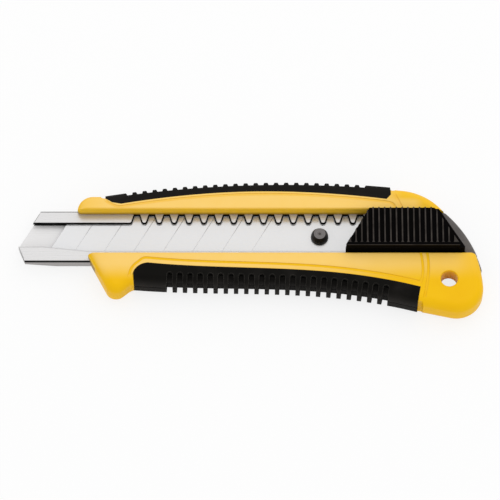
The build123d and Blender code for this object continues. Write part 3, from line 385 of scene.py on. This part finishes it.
def turnedSteel():
    look = pinLook
    finish = Finish("turnedSteel")
    soft = finish.softEdges(look["edge"])
    low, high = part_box("blade_pin")
    axis = ((low[0] + high[0]) / 2, (low[1] + high[1]) / 2, high[2])
    centred = finish.vectors("SUBTRACT", finish.place, axis)
    level = finish.vectors("MULTIPLY", centred, (1.0, 1.0, 0.0))
    radius = finish.vectors("LENGTH", level, (0.0, 0.0, 0.0), "Value")
    rings = radius.maths("SINE", radius * look["rings"])
    grain = finish.noise(*look["grain"])
    turned = rings * look["ringShare"] + look["ringShare"] + grain * look["grainShare"]
    colour = finish.mix(turned, look["colour"], look["lathe"])
    # painted shade: the cone below the top painted dark
    colour = finish.mix(radius.ramp(*look["topRadius"]), colour, look["dark"])
    finish.set(Base_Color=colour, Metallic=look["metal"],
               Roughness=look["roughness"] + grain * look["grainRough"],
               Normal=finish.bump(rings, *look["bump"], soft))
    return finish.material


# Plated screws and rivets, and the springs

platedLook = {
    "colour": rgb(178, 178, 180), "dark": rgb(140, 139, 138),
    "grain": (1800.0, 3.0), "grainFade": (0.3, 0.8),
    "edge": 0.00008, "metal": 1.0, "roughness": 0.3, "grainRough": 0.12, "bump": (0.000008, 0.4),
}


def platedSteel():
    look = platedLook
    finish = Finish("platedSteel")
    soft = finish.softEdges(look["edge"])
    grain = finish.noise(*look["grain"])
    colour = finish.mix(grain.ramp(*look["grainFade"]), look["colour"], look["dark"])
    finish.set(Base_Color=colour, Metallic=look["metal"],
               Roughness=look["roughness"] + grain * look["grainRough"],
               Normal=finish.bump(grain, *look["bump"], soft))
    return finish.material


# Black slider: rib tops and the front ledge painted paler as painted highlight, edges paler with
# wear and painted highlight

sliderLook = {
    "colour": rgb(5, 4, 4), "wearAndHighlight": rgb(70, 65, 61),
    "ribTop": (0.00012, 0.00024), "ribsFrom": (0.0012, 0.0013),
    "ledgeWidth": (0.00024, 0.0003), "ledgeTop": (0.0003, 0.00036),
    "patches": (260.0, 4.0), "patchFade": (0.3, 0.7), "patchLeast": 0.55,
    "rubAndSheenSharpness": 0.25, "rubAndSheenPatches": (450.0, 3.0), "rubAndSheenFade": (0.3, 0.65),
    "rubAndSheenLeast": 0.0, "rubAndSheenShare": 0.3,
    "edge": 0.00012, "roughness": 0.55, "grain": (3000.0, 3.0, 0.6), "grainSwing": 0.14,
    "bump": (0.00002, 0.35), "ior": 1.5, "specular": 0.02,
}


def sliderPlastic():
    look = sliderLook
    finish = Finish("sliderPlastic")
    soft = finish.softEdges(look["edge"])
    grain = finish.noise(*look["grain"])
    low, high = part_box("slider_button")
    fromFront = finish.at("Y") - low[1]
    depth = high[2] - finish.at("Z")  # below the ribs' tops
    # painted highlight: the rib tops and the front ledge painted paler, broken by patches
    ribs = (1 - depth.ramp(*look["ribTop"])) * fromFront.ramp(*look["ribsFrom"])
    ledge = (1 - fromFront.ramp(*look["ledgeWidth"])) * (1 - depth.ramp(*look["ledgeTop"]))
    patches = finish.noise(*look["patches"]).ramp(*look["patchFade"])
    wearAndHighlight = (ribs + ledge).clamp() * (look["patchLeast"] + patches * (1 - look["patchLeast"]))
    wearAndHighlight = wearAndHighlight + finish.rubbedAndHighlit(soft, look) * look["rubAndSheenShare"]
    colour = finish.mix(wearAndHighlight, look["colour"], look["wearAndHighlight"])
    finish.set(Base_Color=colour, IOR=look["ior"], Specular_IOR_Level=look["specular"],
               Roughness=look["roughness"] + grain.swing(look["grainSwing"]),
               Normal=finish.bump(grain, *look["bump"], soft))
    return finish.material


# Dark grey end cap, mottled, its edges paler with wear and painted highlight

capLook = {
    "colour": rgb(96, 92, 90), "wearAndHighlight": rgb(124, 119, 116),
    "mottle": (300.0, 4.0), "mottleFade": (0.3, 0.8), "mottleShare": 0.4,
    "rubAndSheenSharpness": 0.3, "rubAndSheenPatches": (500.0, 3.0), "rubAndSheenFade": (0.3, 0.7),
    "rubAndSheenLeast": 0.0, "rubAndSheenShare": 0.5,
    "edge": 0.0002, "roughness": 0.5, "grain": (2600.0, 3.0, 0.6), "grainSwing": 0.12,
    "bump": (0.00003, 0.35), "ior": 1.5, "specular": 0.15,
}


def capPlastic():
    look = capLook
    finish = Finish("capPlastic")
    soft = finish.softEdges(look["edge"])
    grain = finish.noise(*look["grain"])
    mottle = finish.noise(*look["mottle"]).ramp(*look["mottleFade"])
    # mottle, and wear and painted highlight along the edges
    wearAndHighlight = finish.rubbedAndHighlit(soft, look) * look["rubAndSheenShare"] + mottle * look["mottleShare"]
    colour = finish.mix(wearAndHighlight, look["colour"], look["wearAndHighlight"])
    finish.set(Base_Color=colour, IOR=look["ior"], Specular_IOR_Level=look["specular"],
               Roughness=look["roughness"] + grain.swing(look["grainSwing"]),
               Normal=finish.bump(grain, *look["bump"], soft))
    return finish.material


looks = {
    "yellow_shell": goldenMoulding(), "grip_rubber": gripRubber(), "channel_steel": channelSteel(),
    "blade_steel": bladeSteel(), "pin_steel": turnedSteel(), "screw_steel": platedSteel(),
    "spring_steel": platedSteel(), "slider_plastic": sliderPlastic(), "cap_plastic": capPlastic(),
}
print("knife: finishes made")


# Smooth shading with clean creases on every piece

creases = {"weld": 0.000002, "angle": 28}  # metres and degrees

slots = {entry["node"]: entry["material_slot"] for entry in frame["record"]["subparts"]}
for name, piece in nodes.items():
    piece.data.materials.clear()
    piece.data.materials.append(looks[slots[name]])
    for face in piece.data.polygons:
        face.use_smooth = True
    weld = piece.modifiers.new("weld", "WELD")
    weld.merge_threshold = creases["weld"]
    split = piece.modifiers.new("creases", "EDGE_SPLIT")
    split.split_angle = math.radians(creases["angle"])
print("knife: nodes dressed")


# Floor, light and camera

stageLook = {
    "sky": 0.80, "background": 1.0,
    "floor": (0.97, 0.97, 0.97, 1.0), "floorWhite": 0.8, "floorRoughness": 0.9,
    "floorSpecular": 0.0, "floorSize": 4.0, "floorDrop": 0.00005,
    "softbox": 4.2, "softboxSize": 1.6, "softboxDistance": 1.2, "softboxSide": 0.2,
    "tilt": 65.0, "lens": 300.0, "frameWidth": 0.17921147,
    "aim": (-0.00004, -0.00211, 0.011), "farClip": 20.0,
}


def seenDirectly(tree):  # 1 for rays that show the background itself, 0 for the light it gives
    path = tree.nodes.new("ShaderNodeLightPath")
    either = path.outputs["Is Camera Ray"]
    for name in ("Is Glossy Ray", "Is Transmission Ray"):
        larger = tree.nodes.new("ShaderNodeMath")
        larger.operation = "MAXIMUM"
        tree.links.new(either, larger.inputs[0])
        tree.links.new(path.outputs[name], larger.inputs[1])
        either = larger.outputs[0]
    return either


floorMesh = bmesh.new()
bmesh.ops.create_grid(floorMesh, x_segments=1, y_segments=1, size=stageLook["floorSize"])
bmesh.ops.translate(floorMesh, vec=(0, 0, -stageLook["floorDrop"]), verts=floorMesh.verts)
floorData = bpy.data.meshes.new("floor")
floorMesh.to_mesh(floorData)
floorMesh.free()
floor = bpy.data.objects.new("floor", floorData)
bpy.context.scene.collection.objects.link(floor)
floorFinish = Finish("paleFloor")
floorFinish.set(Base_Color=stageLook["floor"], Roughness=stageLook["floorRoughness"],
                Specular_IOR_Level=stageLook["floorSpecular"])
glow = floorFinish.node("ShaderNodeEmission", {}, {"Strength": stageLook["background"]})
share = Wire(floorFinish, seenDirectly(floorFinish.tree)) * stageLook["floorWhite"]
plain = Wire(floorFinish, floorFinish.shader.outputs["BSDF"])
blend = floorFinish.node("ShaderNodeMixShader", {}, {0: share, 1: plain, 2: glow})
surface = floorFinish.tree.nodes["Material Output"].inputs["Surface"]
floorFinish.tree.links.new(blend.socket, surface)
floorData.materials.append(floorFinish.material)

world = bpy.data.worlds.new("studio")
bpy.context.scene.world = world
world.use_nodes = True
skyTree = world.node_tree
level = skyTree.nodes.new("ShaderNodeMapRange")
level.inputs["To Min"].default_value = stageLook["sky"]
level.inputs["To Max"].default_value = stageLook["background"]
skyTree.links.new(seenDirectly(skyTree), level.inputs["Value"])
background = skyTree.nodes["Background"]
background.inputs["Color"].default_value = (1.0, 1.0, 1.0, 1.0)
skyTree.links.new(level.outputs["Result"], background.inputs["Strength"])

# The softbox hangs where flat faces mirror it to the camera, a little to one side
tilt = math.radians(stageLook["tilt"])
boxLight = bpy.data.lights.new("softbox", "AREA")
boxLight.shape = "SQUARE"
boxLight.size = stageLook["softboxSize"]
boxLight.energy = stageLook["softbox"]
softbox = bpy.data.objects.new("softbox", boxLight)
toSoftbox = Vector((stageLook["softboxSide"], math.cos(tilt), math.sin(tilt)))
softbox.location = toSoftbox.normalized() * stageLook["softboxDistance"]
softbox.rotation_euler = toSoftbox.to_track_quat("Z", "Y").to_euler()
bpy.context.scene.collection.objects.link(softbox)

cameraData = bpy.data.cameras.new("camera")
cameraData.lens = stageLook["lens"]
cameraData.clip_end = stageLook["farClip"]
camera = bpy.data.objects.new("camera", cameraData)
toCamera = Vector((0, -math.cos(tilt), math.sin(tilt)))
distance = stageLook["lens"] / cameraData.sensor_width * stageLook["frameWidth"]
camera.location = Vector(stageLook["aim"]) + toCamera * distance
camera.rotation_euler = (-toCamera).to_track_quat("-Z", "Y").to_euler()
bpy.context.scene.collection.objects.link(camera)
bpy.context.scene.camera = camera
bpy.context.scene.view_settings.view_transform = "Standard"
print("knife: stage set")
